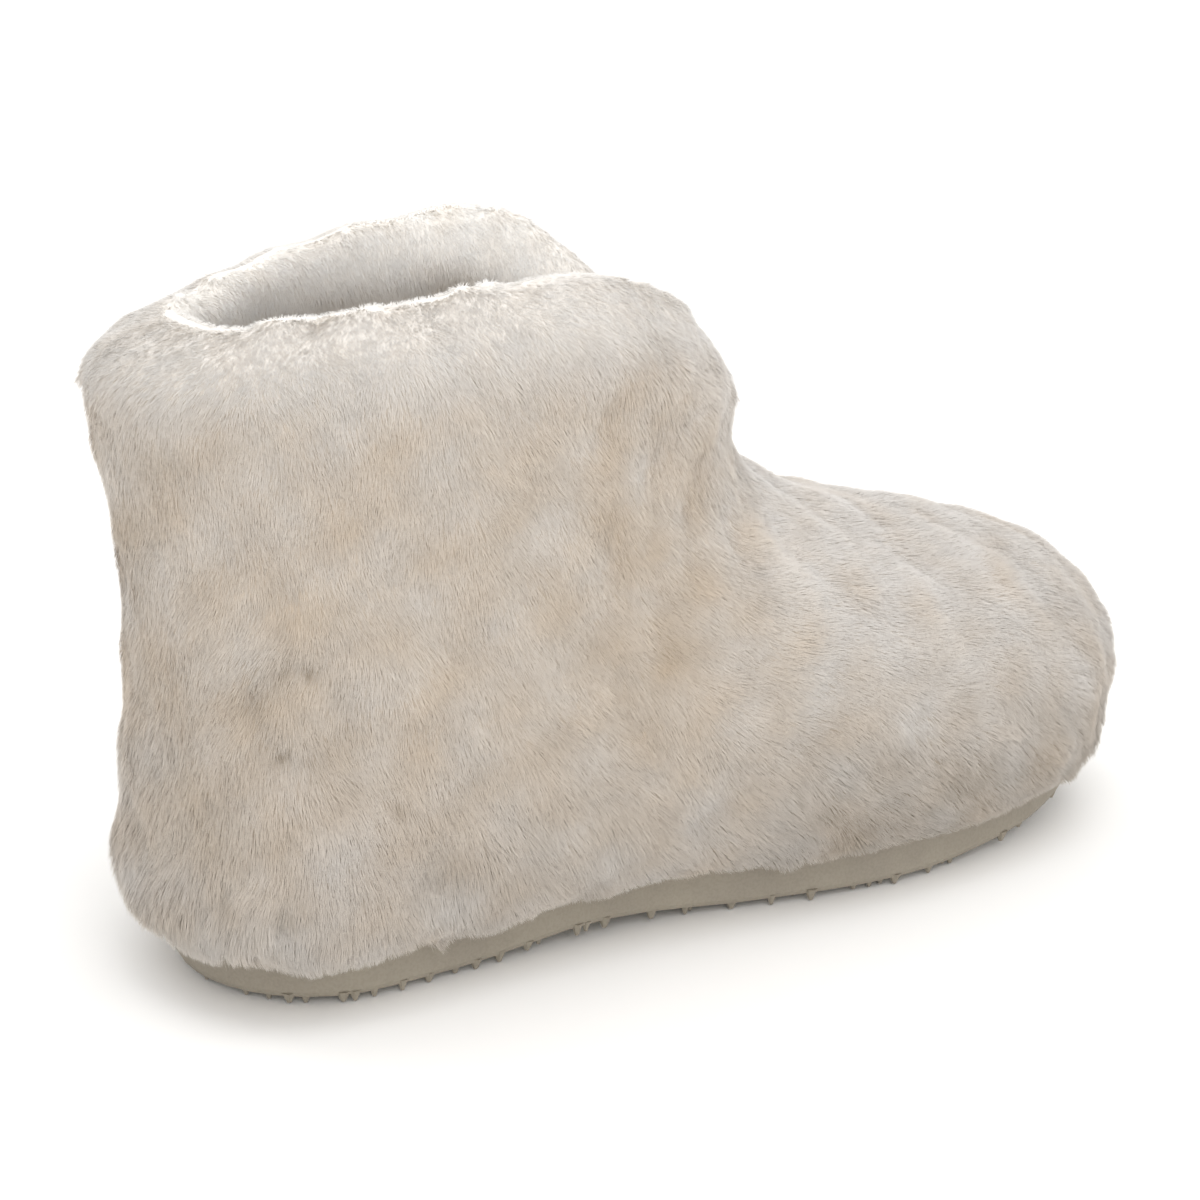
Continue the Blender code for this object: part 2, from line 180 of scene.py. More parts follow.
PAD_GRID = 2.6 * MM
PAD_SWELL = (0.3 * MM, 0.25 * MM, -0.5 * MM)   # broad, fine and all over; below zero is inwards
PAD_LIGHT, PAD_PILE_LIGHT, PAD_TAN = 0.62, 0.64, 0.35
PAD_SEED = 30
PAD_DENSITY = 2.2                   # strands on each square millimetre
PAD_FACING = 0.4                    # they stand where the pad faces up further than this
PAD_REACH, PAD_LIFT = 3.2 * MM, 2.2 * MM
PAD_SWIRL, PAD_LOOSE = 1.1, 0.5

# ---- sole ----

SOLE_ROUND = 2.2                    # makes the sole's plan about round, to walk round its edge
SOLE_BINS = 150                     # steps round the edge
STUD_SEED = 40
STAND = 0.1 * MM                    # the edge studs stay this far over the floor
EDGE_STUD_PITCH = 7.2 * MM
EDGE_STUD_INSET = 1.4 * MM
EDGE_STUD_HEIGHT = 2.1 * MM
EDGE_STUD_SINK = 1.2 * MM
EDGE_STUD_RADII = (0.5 * MM, 1.7 * MM)     # at its tip and where it meets the sole
EDGE_STUD_SIDES = 7
EDGE_STUD_SHIFT = (-0.22, 0.22)     # shares of the pitch
VARY_INSET, VARY_HEIGHT, VARY_STUD = (0.8, 1.2), (0.7, 1.1), (0.75, 1.15)

# ---- stage: place in metres, power as a share of the key's, and size of each softbox ----

LIGHTS = (
    ("key_softbox", (0.35, -0.55, 1.7), 1.0, 1.5),
    ("front_softbox", (-0.5, -1.5, 1.1), 0.9, 1.4),
    ("rear_softbox", (-0.5, 1.2, 1.3), 0.6, 1.3),
    ("far_softbox", (1.1, 2.0, 1.6), 0.6, 1.6),
)
LIGHTS_LOOK_AT = (0, 0, 0.05)
FLOOR_RADIUS, FLOOR_UNDER = 9.0, 0.3 * MM
CAMERA_PLACE = (-340.196, -584.516, 303.918)   # in mm
CAMERA_RIGHT = (0.87336, -0.48706, 0.0033)
CAMERA_UP = (0.15572, 0.28563, 0.9456)
SENSOR = 36.0

# ---- the creases: points, half width, depth (below zero for a ridge), tan ----

# the tan column also sets each crease's painted shade, and each ridge's painted light
CREASES = (
    (
        ((-42, -57, 138), (-40, -54, 118), (-38, -53, 99), (-37, -53, 81), (-35, -52, 62)),
        4.9, 1.4, 0.25,
    ),
    (((-34, -55, 135), (-33, -54, 112), (-33, -53, 93), (-32, -53, 73)), 4.3, -0.8, -0.09),
    (
        ((-28, -55, 134), (-27, -53, 111), (-28, -54, 92), (-27, -52, 76), (-29, -52, 60)),
        4.9, 1.5, 0.28,
    ),
    (((-15, -45, 118), (-17, -49, 103), (-19, -53, 91), (-20, -54, 78)), 5.8, 1.6, 0.21),
    (((-9, -43, 112), (-10, -47, 100), (-11, -50, 88)), 5.8, -0.8, -0.09),
    (((2, -41, 104), (0, -46, 94), (-2, -50, 82)), 5.2, 0.7, 0.09),
    (((14, -18, 106), (8, -32, 103), (4, -40, 98)), 7.2, 0.9, 0.05),
    (((-40, 55, 128), (-38, 53, 108), (-36, 52, 86), (-34, 51, 66)), 5.5, 1.3, 0.21),
    (((-24, 53, 122), (-22, 52, 102), (-21, 53, 84)), 5.2, 1.4, 0.21),
    (((-10, 45, 112), (-12, 49, 98), (-13, 52, 84)), 5.5, 0.9, 0.12),
    (((-133, -14, 112), (-127, -29, 106), (-118, -38, 101)), 7.2, 0.9, 0.07),
    (((-133, 14, 110), (-127, 29, 105), (-118, 38, 100)), 7.2, 0.8, 0.07),
    (((-104, -50, 66), (-90, -52, 58), (-76, -53, 56)), 7.2, 0.7, 0.05),
)

# ---- patches: place, radius, ring radius (0 is a spot), change of light, of tan ----

PATCHES = (
    ((-113, -45, 79), 3.4, 10.5, -0.13, -0.05),
    ((-116, -44, 89), 1.3, 0.0, -0.45, 0.10),
    ((-111, -46, 88), 1.2, 0.0, -0.40, 0.10),
    ((-117, -42, 69), 1.4, 0.0, -0.38, 0.05),
    ((-94, -51, 56), 1.8, 0.0, -0.30, 0.10),
    ((-131, -31, 15), 1.8, 0.0, -0.55, 0.60),
    ((-119, -46, 33), 3.0, 0.0, -0.22, 0.00),
    ((-128, -36, 35), 3.0, 0.0, -0.20, 0.00),
    ((-80, -52, 40), 7.0, 0.0, -0.07, 0.05),
    ((20, -52, 52), 7.0, 0.0, -0.05, 0.25),
    ((52, -40, 74), 6.0, 0.0, 0.05, 0.18),
    ((84, -30, 68), 7.0, 0.0, 0.04, 0.16),
    ((-113, 46, 70), 5.0, 0.0, -0.08, 0.00),
    ((30, 50, 50), 8.0, 0.0, -0.05, 0.20),
)


def srgb(red, green, blue):
    """A colour as picked on screen, 0 to 255, as the linear one that Blender keeps."""
    return tuple(
        c / 255 / 12.92 if c <= 10 else ((c / 255 + 0.055) / 1.055) ** 2.4
        for c in (red, green, blue)
    )


# ---- what a user may change ----


def length(label, what, default):
    return bpy.props.FloatProperty(
        name=label, description=what, default=default, min=0.0, unit="LENGTH", precision=4
    )


def colour(label, what, default):
    return bpy.props.FloatVectorProperty(
        name=label, description=what, default=srgb(*default),
        size=3, min=0.0, max=1.0, subtype="COLOR",
    )


def share(label, what, default):
    return bpy.props.FloatProperty(
        name=label, description=what, default=default, min=0.0, max=1.0, subtype="FACTOR"
    )


def amount(label, what, default, least=0.0, **kind):
    return bpy.props.FloatProperty(
        name=label, description=what, default=default, min=least, **kind
    )


class FurSizes(bpy.types.PropertyGroup):
    """Sizes of the sheepskin's hide and pile."""

    hide_depth: length("Hide depth", "How far the hide lies under the fur's surface", 0.0004)
    hide_grid: length("Hide grid", "Grid that the hide is remeshed on", 0.0029)
    fibre_width: length("Fibre width", "Width of one blade of fibres at its root", 0.00028)
    coat_length: length("Coat length", "Length of the outer pile", 0.0040)
    coat_lift: length("Coat lift", "How high the outer pile's tips stand over the hide", 0.0011)
    collar_length: length("Collar length", "Length of the pile on the collar", 0.0052)
    collar_lift: length("Collar lift", "How high the collar's tips stand over the hide", 0.0007)
    lining_length: length("Lining length", "Length of the lining's pile", 0.0050)
    lining_lift: length("Lining lift", "How high the lining's tips stand over the hide", 0.0015)
    coat_density: amount("Coat density", "Fibres on a square millimetre outside", 6.5, 0.1)
    collar_density: amount(
        "Collar density", "Fibres on a square millimetre of the collar", 10.0, 0.1
    )
    lining_density: amount("Lining density", "Fibres on a square millimetre inside", 2.6, 0.1)
    clumping: share("Clumping", "How far tips gather into locks", 0.12)


class FurColours(bpy.types.PropertyGroup):
    """Colours of the fur, from its partings to its lightest tips."""

    # the darkest stop, which the painted shade in partings and at the roots runs towards
    deep: colour("Deep", "Fur in partings and at the roots", (150, 142, 131))
    shade: colour("Shade", "The darker coat low on the shoe", (196, 190, 183))
    coat: colour("Coat", "The coat's main colour", (220, 216, 211))
    tip: colour("Tip", "The lightest tips, on the collar", (249, 248, 246))
    tan: colour("Tan", "The warm tint in hollows", (240, 221, 194))
    fleece: colour("Fleece", "The lining and the footbed", (252, 246, 238))


class SoleFinish(bpy.types.PropertyGroup):
    """Colours and surface of the sole."""

    body: colour("Body", "The sole's main colour", (160, 152, 137))
    dust: colour("Dust", "Duller patches on the sole", (146, 138, 126))
    roughness: share("Roughness", "How matt the sole is", 0.62)


class StudioSetting(bpy.types.PropertyGroup):
    """Floor, light and camera."""

    floor: colour("Floor", "The floor", (250, 249, 247))
    sky: amount("Sky", "Strength of the even light", 0.88)
    key: amount("Key", "Power of the overhead light", 11.0, unit="POWER")
    lens: amount("Lens", "Focal length in mm", 85.7, 10.0)


# ---- small tools for the mesh work ----


def deselect_all():
    active = bpy.context.view_layer.objects.active
    if active and active.mode != "OBJECT":
        bpy.ops.object.mode_set(mode="OBJECT")
    bpy.ops.object.select_all(action="DESELECT")


def pick(piece):
    deselect_all()
    piece.select_set(True)
    bpy.context.view_layer.objects.active = piece


def merged_copy(node, name):
    """A new object with a copy of a CAD node's mesh, its loose triangles merged."""
    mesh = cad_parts[node].data.copy()
    mesh.name = name
    mesh.materials.clear()
    piece = bpy.data.objects.new(name, mesh)
    bpy.context.scene.collection.objects.link(piece)
    pick(piece)
    bpy.ops.object.mode_set(mode="EDIT")
    bpy.ops.mesh.select_all(action="SELECT")
    bpy.ops.mesh.remove_doubles(threshold=0.00001)
    bpy.ops.object.mode_set(mode="OBJECT")
    return piece


def worked(piece, kind, **settings):
    """Adds one modifier with its settings and applies it."""
    modifier = piece.modifiers.new(kind.title(), kind)
    for key, value in settings.items():
        setattr(modifier, key, value)
    pick(piece)
    bpy.ops.object.modifier_apply(modifier=modifier.name)


def points_of(piece):
    mesh = piece.data
    places = np.empty((len(mesh.vertices), 3))
    mesh.vertices.foreach_get("co", places.reshape(-1))
    return places


def normals_of(piece):
    mesh = piece.data
    normals = np.empty((len(mesh.vertices), 3))
    mesh.vertices.foreach_get("normal", normals.reshape(-1))
    return normals


def triangles_of(piece):
    mesh = piece.data
    mesh.calc_loop_triangles()
    corners = np.empty((len(mesh.loop_triangles), 3), dtype=np.int32)
    mesh.loop_triangles.foreach_get("vertices", corners.reshape(-1))
    return corners


def put_points(piece, places):
    piece.data.vertices.foreach_set("co", places.reshape(-1))
    piece.data.update()


def put_attribute(mesh, name, values):
    layer = mesh.attributes.new(name, "FLOAT", "POINT")
    layer.data.foreach_set("value", values.astype(np.float32))


def unit(vectors):
    return vectors / np.maximum(np.linalg.norm(vectors, axis=1, keepdims=True), 1e-9)


def dots(a, b):
    return (a * b).sum(axis=1)


def smooth_step(values, start, end):
    t = np.clip((values - start) / (end - start), 0.0, 1.0)
    return t * t * (3.0 - 2.0 * t)


def spot_rise(places, place, radius, rise):
    """A soft bump about one place, given in mm: how far each place moves."""
    off = np.linalg.norm(places - np.array(place) * MM, axis=1) / (radius * MM)
    return rise * MM * np.exp(-(off**2))


def swept(ahead, side, angle):
    """Directions turned by an angle from ahead towards the side."""
    return ahead * np.cos(angle)[:, None] + side * np.sin(angle)[:, None]


def relaxed(piece, rounds, strength=1.0):
    """Places of a piece with its small bumps smoothed away and its volume kept."""
    mesh, places = piece.data, points_of(piece)
    edges = np.empty((len(mesh.edges), 2), dtype=np.int32)
    mesh.edges.foreach_get("vertices", edges.reshape(-1))
    ends, others = edges.reshape(-1), edges[:, ::-1].reshape(-1)
    neighbours = np.bincount(ends, minlength=len(places))[:, None]
    for _ in range(rounds):
        for step in RELAX_STEPS:
            sums = [np.bincount(ends, places[others, axis], len(places)) for axis in range(3)]
            places = places + step * strength * (np.stack(sums, axis=1) / neighbours - places)
    return places


class Drift:
    """A smooth value that wanders about zero over the shoe: a few sine waves added up."""

    def __init__(self, seed, wavelength, waves=8):
        chance = np.random.default_rng(seed)
        ways = unit(chance.normal(size=(waves, 3)))
        self.waves = ways * (2 * math.pi / (wavelength * chance.uniform(0.6, 1.5, (waves, 1))))
        self.phase = chance.uniform(0, 2 * math.pi, waves)

    def __call__(self, places):
        total = np.sin(places @ self.waves.T + self.phase).sum(axis=1)
        return total / math.sqrt(len(self.phase) / 2)


# ---- what is where on the fur ----


class Coat:
    """Reads any place on the hide: which part it is, how the pile lies there, and its tint."""

    def __init__(self, places):
        turn, high = self.turn(places), places[:, 2] > LEG_FROM
        bins = np.linspace(-math.pi, math.pi, CREST_BINS + 1)
        steps = zip(bins[:-1], bins[1:])
        tops = np.array([places[high & (turn >= a) & (turn <= b), 2].max() for a, b in steps])
        around = np.concatenate([tops[-2:], tops, tops[:2]])
        tops = np.convolve(around, CREST_BLUR, "valid")
        middles = (bins[:-1] + bins[1:]) / 2
        before, after = middles[-1] - 2 * math.pi, middles[0] + 2 * math.pi
        self.turns = np.concatenate([[before], middles, [after]])
        self.tops = np.concatenate([[tops[-1]], tops, [tops[0]]])
        self.swirl = Drift(11, 34 * MM)
        self.curl = Drift(12, 11 * MM)
        self.cloud = Drift(13, 16 * MM)
        self.mottle = Drift(14, 6.5 * MM)
        self.warm = Drift(15, 21 * MM)
        self.fleck = Drift(16, 3.2 * MM)

    def turn(self, places):
        """Angle round the leg."""
        return np.arctan2(places[:, 1] - LEG_AXIS[1], places[:, 0] - LEG_AXIS[0])

    def below_crest(self, places):
        return np.interp(self.turn(places), self.turns, self.tops) - places[:, 2]

    def near_crest(self, places, band):
        """A mask that grows from 0 to 1 towards the crest, between the two depths of a band."""
        start, full = band
        return smooth_step(-self.below_crest(places), -start, -full) * (places[:, 2] > LEG_FROM)

    def outward(self, places, normals):
        """Above zero where a place faces away from the middle of the shoe."""
        high = places[:, 2] > LEG_FROM
        x = np.where(high, LEG_AXIS[0], np.clip(places[:, 0], *FOOT_LINE))
        y = FOOT_LEAN[2] * smooth_step(places[:, 0], FOOT_LEAN[0], FOOT_LEAN[1])
        z = np.where(high, places[:, 2], FOOT_LINE_HEIGHT)
        away = unit(places - np.stack([x, np.where(high, LEG_AXIS[1], y), z], axis=1))
        return dots(normals, away)

    def parts(self, places, normals):
        """A mask for each part of the pile."""
        below = self.below_crest(places)
        collar = (places[:, 2] > LEG_FROM) & (below < COLLAR_DEEP)
        inner = (self.outward(places, normals) < 0) & ~collar
        under = (normals[:, 2] < UNDER_FACING) & (places[:, 2] < UNDER_TO)
        outer = ~collar & ~inner & ~under
        behind = places[:, 0] < VAMP_FROM + SHAFT_OVERHANG
        shaft = outer & (places[:, 2] > SHAFT_FROM) & behind
        vamp = outer & ~shaft & (places[:, 0] > VAMP_FROM)
        heel = outer & ~shaft & (places[:, 0] < HEEL_TO)
        return {
            "collar": collar,
            "shaft": shaft,
            "heel": heel,
            "quarter": outer & ~shaft & ~vamp & ~heel,
            "vamp": vamp,
            "lining": inner & (places[:, 0] < LINING_TO),
        }

    def lie(self, places, normals, inner):
        """The way that the pile lies, along the hide."""
        x, z = places[:, 0], places[:, 2]
        forward = np.interp(x, LIE_X, LIE_FORWARD)
        vamp = smooth_step(x, *LIE_VAMP)
        down = 1.0 + (np.interp(z, LIE_Z, LIE_DOWN) - 1.0) * vamp
        leg = smooth_step(z, *LIE_SHAFT)
        forward = forward + (np.minimum(forward, SHAFT_FORWARD) - forward) * leg
        down = down + (1.0 - down) * leg
        forward = np.where(inner, LINING_FORWARD, forward)
        down = np.where(inner, 1.0, down)
        way = np.stack([forward, np.zeros_like(x), -down], axis=1)
        way = way - normals * dots(way, normals)[:, None]
        flat = np.linalg.norm(way, axis=1) < FLAT_LIE
        out = np.stack([x - LEG_AXIS[0], places[:, 1] - LEG_AXIS[1], np.zeros_like(x)], axis=1)
        out = out * np.where(self.outward(places, normals) < 0, -1.0, 1.0)[:, None]
        way = np.where(flat[:, None], unit(out), way)
        return unit(way - normals * dots(way, normals)[:, None])

    def light(self, places, normals, inner):
        """How light the fur is, 0 to 1, painted shade included, and how tan."""
        x, z = places[:, 0], places[:, 2]
        # darker low on the shoe: partly the fur's own colour, partly painted shade from the
        # overhead light
        front = smooth_step(x, *FRONT_X)
        light = np.interp(z, BACK_LIGHT_Z, BACK_LIGHT)
        light = light + (np.interp(z, FRONT_LIGHT_Z, FRONT_LIGHT) - light) * front
        collar = self.near_crest(places, PALE_BAND)
        facing_in = smooth_step(-self.outward(places, normals), *INNER_SLOPE) * (z > LEG_FROM)
        light = light + (COLLAR_LIGHT + CREST_LIGHTER * facing_in - light) * collar
        light = np.where(inner, LINING_LIGHT, light)
        tan = np.interp(z, TAN_Z, BACK_TAN)
        tan = tan + (np.interp(z, TAN_Z, FRONT_TAN) - tan) * front
        tan = np.where(inner, LINING_TAN, tan) * (1 - COLLAR_LESS_TAN * collar)
        mottle = self.mottle(places)
        cloudy, mottled, flecked = LIGHT_DRIFTS
        drifts = cloudy * self.cloud(places) + mottled * mottle + flecked * self.fleck(places)
        light = light + drifts * (1 - COLLAR_LESS_DRIFT * collar)
        tan = tan + TAN_DRIFTS[0] * self.warm(places) * (1 - collar) + TAN_DRIFTS[1] * mottle
        # creases get more tan and painted shade; ridges, with a tint below zero, get painted light
        for points, half_width, _, tint in CREASES:
            near = near_line(places, points, half_width)
            tan = tan + CREASE_TAN * tint * near * ~inner
            light = light - CREASE_PAINTED_SHADING * tint * near * ~inner
        for place, radius, ring, change, tint in PATCHES:
            off = np.linalg.norm(places - np.array(place) * MM, axis=1) - ring * MM
            near = np.exp(-((off / (radius * MM)) ** 2)) * ~inner
            light = light + change * near
            tan = tan + tint * near
        return np.clip(light, 0.0, 1.0), np.clip(tan, 0.0, 1.0)


def near_line(places, points, half_width):
    """A mask that falls away from a line through given points, all in mm."""
    line = np.array(points) * MM
    best = np.full(len(places), 1.0)
    for a, b in zip(line[:-1], line[1:]):
        along = b - a
        t = np.clip((places - a) @ along / (along @ along), 0.0, 1.0)
        best = np.minimum(best, np.linalg.norm(places - a - t[:, None] * along, axis=1))
    return np.exp(-((best / (half_width * MM)) ** 2))


# ---- growing the pile ----


def scatter(chance, places, normals, corners, chosen, density):
    """Random places with normals on the chosen triangles, so many on each square millimetre."""
    kept = corners[chosen]
    a, b, c = places[kept[:, 0]], places[kept[:, 1]], places[kept[:, 2]]
    areas = np.linalg.norm(np.cross(b - a, c - a), axis=1) / 2
    count = int(areas.sum() / MM**2 * density)
    which = np.searchsorted(np.cumsum(areas) / areas.sum(), chance.random(count))
    which = np.minimum(which, len(kept) - 1)
    u, v = chance.random(count), chance.random(count)
    fold = u + v > 1
    u, v = np.where(fold, 1 - u, u), np.where(fold, 1 - v, v)
    weights = np.stack([1 - u - v, u, v], axis=1)[:, :, None]
    chosen_places, chosen_normals = places[kept[which]], normals[kept[which]]
    return (chosen_places * weights).sum(axis=1), unit((chosen_normals * weights).sum(axis=1))


def grow(chance, coat, places, normals, inner, reach, lift, loose):
    """The way that each strand lies, and its tip."""
    lie = coat.lie(places, normals, inner)
    angle = SWIRL_TURN * coat.swirl(places) + CURL_TURN * coat.curl(places)
    angle = angle + loose * chance.normal(size=len(places))
    lie = swept(lie, np.cross(normals, lie), angle)
    stretch = chance.uniform(*VARY_REACH, len(places)) * (1 + 0.06 * coat.mottle(places))
    reach, lift = reach * stretch, lift * chance.uniform(*VARY_LIFT, len(places))
    return lie, places + lie * reach[:, None] + normals * lift[:, None]


def gather(places, tip, guides, pull):
    """Draws strands towards the tip of the lock they stand in."""
    roots, guide_tip = guides
    tree = KDTree(len(roots))
    for index, root in enumerate(roots):
        tree.insert(root, index)
    tree.balance()
    near = np.array([tree.find(place)[1] for place in places])
    off = places - roots[near]
    return near, tip + (guide_tip[near] + LOCK_SPREAD * off - tip) * pull[:, None]


def fibres(name, chance, places, normals, lie, tip, width, attributes):
    """One mesh of fine fibres, each a pointed blade that is shaded like the hide under it."""
    count = len(places)
    roll = chance.normal(0.0, BLADE_ROLL, count)
    across = unit(swept(np.cross(lie, normals), normals, roll))
    wide = (width * chance.uniform(*VARY_WIDTH, count) / 2)[:, None]
    root = places - normals * ROOT_SINK
    corners = np.stack([root - across * wide, root + across * wide, tip], axis=1)
    sides = corners.shape[1]
    mesh = bpy.data.meshes.new(name)
    mesh.vertices.add(sides * count)
    mesh.vertices.foreach_set("co", corners.reshape(-1).astype(np.float32))
    mesh.loops.add(sides * count)
    mesh.loops.foreach_set("vertex_index", np.arange(sides * count, dtype=np.int32))
    mesh.polygons.add(count)
    mesh.polygons.foreach_set("loop_start", sides * np.arange(count, dtype=np.int32))
    mesh.update(calc_edges=True)
    mesh.shade_smooth()
    mesh.normals_split_custom_set_from_vertices(np.repeat(normals, sides, axis=0))
    for key, values in attributes.items():
        each = values.reshape(-1) if values.ndim > 1 else np.repeat(values, sides)
        put_attribute(mesh, key, each)
    piece = bpy.data.objects.new(name, mesh)
    bpy.context.scene.collection.objects.link(piece)
    return piece


# ---- shader maths as Python expressions ----


class Wire:
    """A value in a material; arithmetic on it adds the Math nodes."""

    def __init__(self, finish, socket):
        self.finish, self.socket = finish, socket

    def _with(self, operation, first, second):
        return self.finish.add("ShaderNodeMath", {"operation": operation}, {0: first, 1: second})

    def __add__(self, other):
        return self._with("ADD", self, other)

    def __sub__(self, other):
        return self._with("SUBTRACT", self, other)

    def __mul__(self, other):
        return self._with("MULTIPLY", self, other)

    def __radd__(self, other):
        return self._with("ADD", other, self)

    def __rsub__(self, other):
        return self._with("SUBTRACT", other, self)

    def __rmul__(self, other):
        return self._with("MULTIPLY", other, self)

    def clamped(self):
        return self.finish.add("ShaderNodeClamp", {}, {"Value": self})


class Finish:
    """One procedural material and the few ways its nodes are added."""

    def __init__(self, name, **constants):
        self.material = bpy.data.materials.new(name)
        self.material.use_nodes = True
        self.tree = self.material.node_tree
        self.shader = next(n for n in self.tree.nodes if n.type == "BSDF_PRINCIPLED")
        self.output = next(n for n in self.tree.nodes if n.type == "OUTPUT_MATERIAL")
        for key, value in constants.items():
            self.shader.inputs[key.replace("_", " ")].default_value = value
        self.material.diffuse_color = (0.7, 0.66, 0.6, 1.0)

    def add(self, kind, settings, values, output=0):
        node = self.tree.nodes.new(kind)
        for key, value in settings.items():
            if key == "stops":
                ramp = node.color_ramp
                while len(ramp.elements) < len(value):
                    ramp.elements.new(0.5)
                for element, (at, tint) in zip(ramp.elements, value):
                    element.position, element.color = at, (*tint, 1.0)
            else:
                setattr(node, key, value)
        for key, value in values.items():
            if isinstance(value, Wire):
                self.tree.links.new(value.socket, node.inputs[key])
            else:
                node.inputs[key].default_value = value
        return Wire(self, node.outputs[output])

    def attribute(self, name):
        return self.add("ShaderNodeAttribute", {"attribute_name": name}, {}, "Fac")

    def place(self):
        return self.add("ShaderNodeTexCoord", {}, {}, "Object")

    def noise(self, scale, detail=2.0):
        values = {"Vector": self.place(), "Scale": scale, "Detail": detail}
        return self.add("ShaderNodeTexNoise", {}, values)

    def ramp(self, value, stops):
        return self.add("ShaderNodeValToRGB", {"stops": stops}, {"Fac": value})

    def mix(self, amount, first, second, blend="MIX"):
        first = first if isinstance(first, Wire) else (*first, 1.0)
        second = second if isinstance(second, Wire) else (*second, 1.0)
        settings = {"data_type": "RGBA", "blend_type": blend}
        return self.add("ShaderNodeMix", settings, {0: amount, 6: first, 7: second}, 2)

    def bump(self, height, strength, distance):
        values = {"Height": height, "Strength": strength, "Distance": distance}
        self.feed("Normal", self.add("ShaderNodeBump", {}, values))

    def feed(self, socket, wire):
        self.tree.links.new(wire.socket, self.shader.inputs[socket])


def pile_finish(name, colours, tint, thin):
    """Fur or fleece, its light and tan read from the strands; thin fibres let light through."""
    finish = Finish(
        name, Roughness=0.88, Specular_IOR_Level=0.16, Sheen_Weight=0.12, Sheen_Roughness=0.5
    )
    light, tan = finish.attribute("light"), finish.attribute("tan")
    value = light + (finish.noise(150.0, 3.0) - 0.5) * 0.06
    shades = zip((0.0, 0.34, 0.66, 0.96), (colours.deep, colours.shade, colours.coat, colours.tip))
    base = finish.ramp(value.clamped(), [(at, tuple(shade)) for at, shade in shades])
    warm = finish.mix(1.0, base, tuple(tint), "MULTIPLY")
    base = finish.mix((tan * 0.9).clamped(), base, warm)
    finish.feed("Base Color", base)
    if thin:
        through = finish.add("ShaderNodeBsdfTranslucent", {}, {"Color": base})
        opaque = Wire(finish, finish.shader.outputs[0])
        values = {0: finish.attribute("thin"), 1: opaque, 2: through}
        both = finish.add("ShaderNodeMixShader", {}, values)
        finish.tree.links.new(both.socket, finish.output.inputs["Surface"])
    else:
        finish.bump(finish.noise(900.0), 0.25, 0.0004)
    return finish.material


def sole_finish(name, colours):
    """Matt foamed rubber, faintly mottled, a little darker in the low places of its pores: painted
    shade.
    """
    finish = Finish(name, Specular_IOR_Level=0.3)
    broad, fine, pores = finish.noise(28.0, 3.0), finish.noise(140.0, 3.0), finish.noise(1400.0)
    dull = ((broad - 0.45) * 1.6 + (fine - 0.5) * 0.7 + 0.35).clamped()
    base = finish.mix(dull, tuple(colours.body), tuple(colours.dust))
    # the pores darkened a little: painted shade in their low places
    pores_painted_shade = finish.ramp(pores, [(0.35, (0.25, 0.22, 0.18)), (0.6, (1.0, 1.0, 1.0))])
    finish.feed("Base Color", finish.mix(0.10, base, pores_painted_shade, "MULTIPLY"))
    finish.feed("Roughness", ((fine - 0.5) * 0.2 + colours.roughness).clamped())
    finish.bump(pores * 0.4 + fine, 0.35, 0.0003)
    return finish.material


def dress(piece, material, slot, *nodes):
    """Gives a piece its finish and its body, and hides the CAD nodes that it stands for; the slot
    is not used.
    """
    piece.data.materials.clear()
    piece.data.materials.append(material)
    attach(piece, "root")
    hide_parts(*nodes)


# ---- the pieces ----

made = {}


class SLIPPER_OT_hide(bpy.types.Operator):
    """The sheepskin under the pile, with its creases and ridges"""

    bl_idname = "slipper.hide"
    bl_label = "Hide"

    def execute(self, context):
        sizes, colours = context.scene.slipper_fur, context.scene.slipper_colours
        hide = merged_copy("upper", "sheepskin_hide")
        worked(hide, "REMESH", mode="VOXEL", voxel_size=sizes.hide_grid)
        put_points(hide, relaxed(hide, RELAX_ROUNDS))
        foot = 1 - smooth_step(points_of(hide)[:, 2:], *FOOT_FADE)
        put_points(hide, relaxed(hide, FOOT_ROUNDS, foot))
        worked(hide, "DISPLACE", strength=-sizes.hide_depth, mid_level=0.0)
        places, normals = points_of(hide), normals_of(hide)
        coat = Coat(places)
        inner = (coat.outward(places, normals) < 0) & (coat.below_crest(places) > COLLAR_DEEP)
        sunk = np.zeros(len(places))
        for points, half_width, depth, _ in CREASES:
            sunk += depth * MM * near_line(places, points, half_width) * ~inner
        rough = ROUGH_FINE * coat.mottle(places) + ROUGH_BROAD * coat.curl(places)
        crest = coat.near_crest(places, TRIM_BAND)
        toe = smooth_step(places[:, 0], *TOE_FROM) * smooth_step(places[:, 2], *TOE_OVER) * ~inner
        plump = COLLAR_PLUMP * crest + TOE_PLUMP * toe
        out = rough * (1 - CREST_EVEN * crest) - sunk + plump
        places = places + normals * out[:, None]
        for start, end, depth in RIM_TRIMS:
            places[:, 2] -= depth * crest * smooth_step(places[:, 0], start, end)
        for spot in RIM_SPOTS:
            places[:, 2] += crest * spot_rise(places, *spot)
        places[:, 2] += spot_rise(places, *HEM_SPOT)
        full, none, rise = HEM_UP
        places[:, 2] += rise * (1 - smooth_step(places[:, 2], full, none))
        put_points(hide, places)
        pick(hide)
        bpy.ops.object.shade_smooth()
        light, tan = coat.light(places, normals, inner)
        # painted shade under the pile, less of it at the crest and inside
        darker = HIDE_PAINTED_SHADE * (1 - 0.8 * np.maximum(crest, inner))
        put_attribute(hide.data, "light", light - darker)
        put_attribute(hide.data, "tan", tan + HIDE_TANNER)
        made["pile"] = pile_finish("fur_pile", colours, colours.tan, True)
        made["fleece"] = pile_finish("fleece_pile", colours, colours.fleece, True)
        dress(hide, pile_finish("sheepskin", colours, colours.tan, False), "fur", "upper")
        made["hide"], made["coat"] = hide, Coat(points_of(hide))
        return {"FINISHED"}


